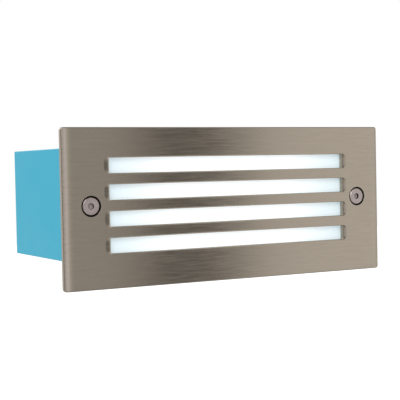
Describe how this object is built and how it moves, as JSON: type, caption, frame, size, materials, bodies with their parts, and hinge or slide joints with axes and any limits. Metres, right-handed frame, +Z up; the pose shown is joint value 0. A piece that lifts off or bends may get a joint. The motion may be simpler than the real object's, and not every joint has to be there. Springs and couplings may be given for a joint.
{
  "type": "step light",
  "caption": "Recessed wall step light: brushed steel face with long light slots, frosted lit panel behind, and a deep built-in box.",
  "frame": {"origin": "middle of the faceplate, on the plane of the wall that its rim stands on", "axes": "+X to the right seen from the front, +Y into the wall, +Z up"},
  "size_m": [0.262, 0.1116, 0.11],
  "materials": {
    "box_plastic": "smooth blue-green moulded plastic, satin",
    "plug_plastic": "moulded plastic, satin",
    "brushed_face": "stainless steel with a fine brushed grain from left to right",
    "stainless_screw": "turned stainless steel",
    "black_rubber": "matt black rubber",
    "grey_rubber": "matt grey rubber",
    "clear_silicone": "milky silicone",
    "opal_sheet": "frosted white sheet, lit from behind",
    "cast_housing": "die-cast aluminium, fine grain",
    "zinc_steel": "zinc-plated steel",
    "white_reflector": "white reflector plastic",
    "grey_pad": "soft grey thermal pad",
    "white_board": "white solder mask on aluminium",
    "light_yellow": "yellow phosphor in a white frame",
    "cream_plastic": "cream nylon",
    "white_plastic": "white polycarbonate",
    "dark_plastic": "dark grey glass-filled nylon",
    "black_plastic": "black nylon",
    "green_board": "green circuit board",
    "iron_core": "varnished core and tape",
    "blue_sleeve": "dark blue sleeve",
    "brass": "turned brass",
    "tinned_copper": "tinned copper",
    "green_screw": "green passivated steel",
    "red_lead": "red insulation",
    "black_lead": "black insulation",
    "brown_lead": "brown insulation",
    "blue_lead": "blue insulation",
    "green_lead": "green and yellow insulation"
  },
  "bodies": {
    "wall_box": {"recess_box": "box_plastic", "thread_inserts": "brass", "cable_grommet": "black_rubber", "blanking_plug": "plug_plastic"},
    "front_unit": {"faceplate": "brushed_face", "wall_gasket": "black_rubber", "diffuser_seal": "clear_silicone", "diffuser": "opal_sheet", "lamp_housing": "cast_housing", "housing_washers": "zinc_steel", "housing_nuts": "zinc_steel", "reflector": "white_reflector", "thermal_pad": "grey_pad", "led_board": "white_board", "led_chips": "light_yellow", "board_connector": "cream_plastic", "board_screws": "zinc_steel", "wire_grommet": "black_rubber", "led_positive_wire": "red_lead", "led_negative_wire": "black_lead", "driver_case": "white_plastic", "driver_lid": "white_plastic", "driver_board": "green_board", "driver_transformer": "iron_core", "driver_capacitors": "blue_sleeve", "driver_screws": "zinc_steel", "terminal_body": "cream_plastic", "terminal_clamps": "brass", "terminal_screws": "zinc_steel", "terminal_fixing_screws": "zinc_steel", "live_wire": "brown_lead", "neutral_wire": "blue_lead", "earth_wire": "green_lead", "earth_tag": "tinned_copper", "earth_screw": "green_screw", "gear_cover": "dark_plastic", "cover_seal": "black_rubber", "cover_screws": "zinc_steel", "gland_body": "dark_plastic", "gland_locknut": "dark_plastic", "gland_seal": "grey_rubber", "gland_cap": "dark_plastic"},
    "left_screw_carrier": {"left_retaining_washer": "black_plastic"},
    "left_screw": {"left_face_screw": "stainless_screw"},
    "right_screw_carrier": {"right_retaining_washer": "black_plastic"},
    "right_screw": {"right_face_screw": "stainless_screw"}
  },
  "joints": [
    {"name": "front_withdraw", "type": "slide", "parent": "wall_box", "child": "front_unit", "axis": [0, -1, 0], "range_m": [0, 0.12]},
    {"name": "left_screw_travel", "type": "slide", "parent": "front_unit", "child": "left_screw_carrier", "axis": [0, -1, 0], "range_m": [0, 0.01]},
    {"name": "left_screw_turn", "type": "hinge", "parent": "left_screw_carrier", "child": "left_screw", "pos_m": [-0.1107, 0, 0.00175], "axis": [0, -1, 0], "range_deg": [0, 3600]},
    {"name": "right_screw_travel", "type": "slide", "parent": "front_unit", "child": "right_screw_carrier", "axis": [0, -1, 0], "range_m": [0, 0.01]},
    {"name": "right_screw_turn", "type": "hinge", "parent": "right_screw_carrier", "child": "right_screw", "pos_m": [0.1107, 0, 0.00175], "axis": [0, -1, 0], "range_deg": [0, 3600]}
  ],
  "couplings": [
    {"joint": "left_screw_turn", "follows": "left_screw_travel", "rad_per_m": 6283.2},
    {"joint": "right_screw_turn", "follows": "right_screw_travel", "rad_per_m": 6283.2}
  ]
}
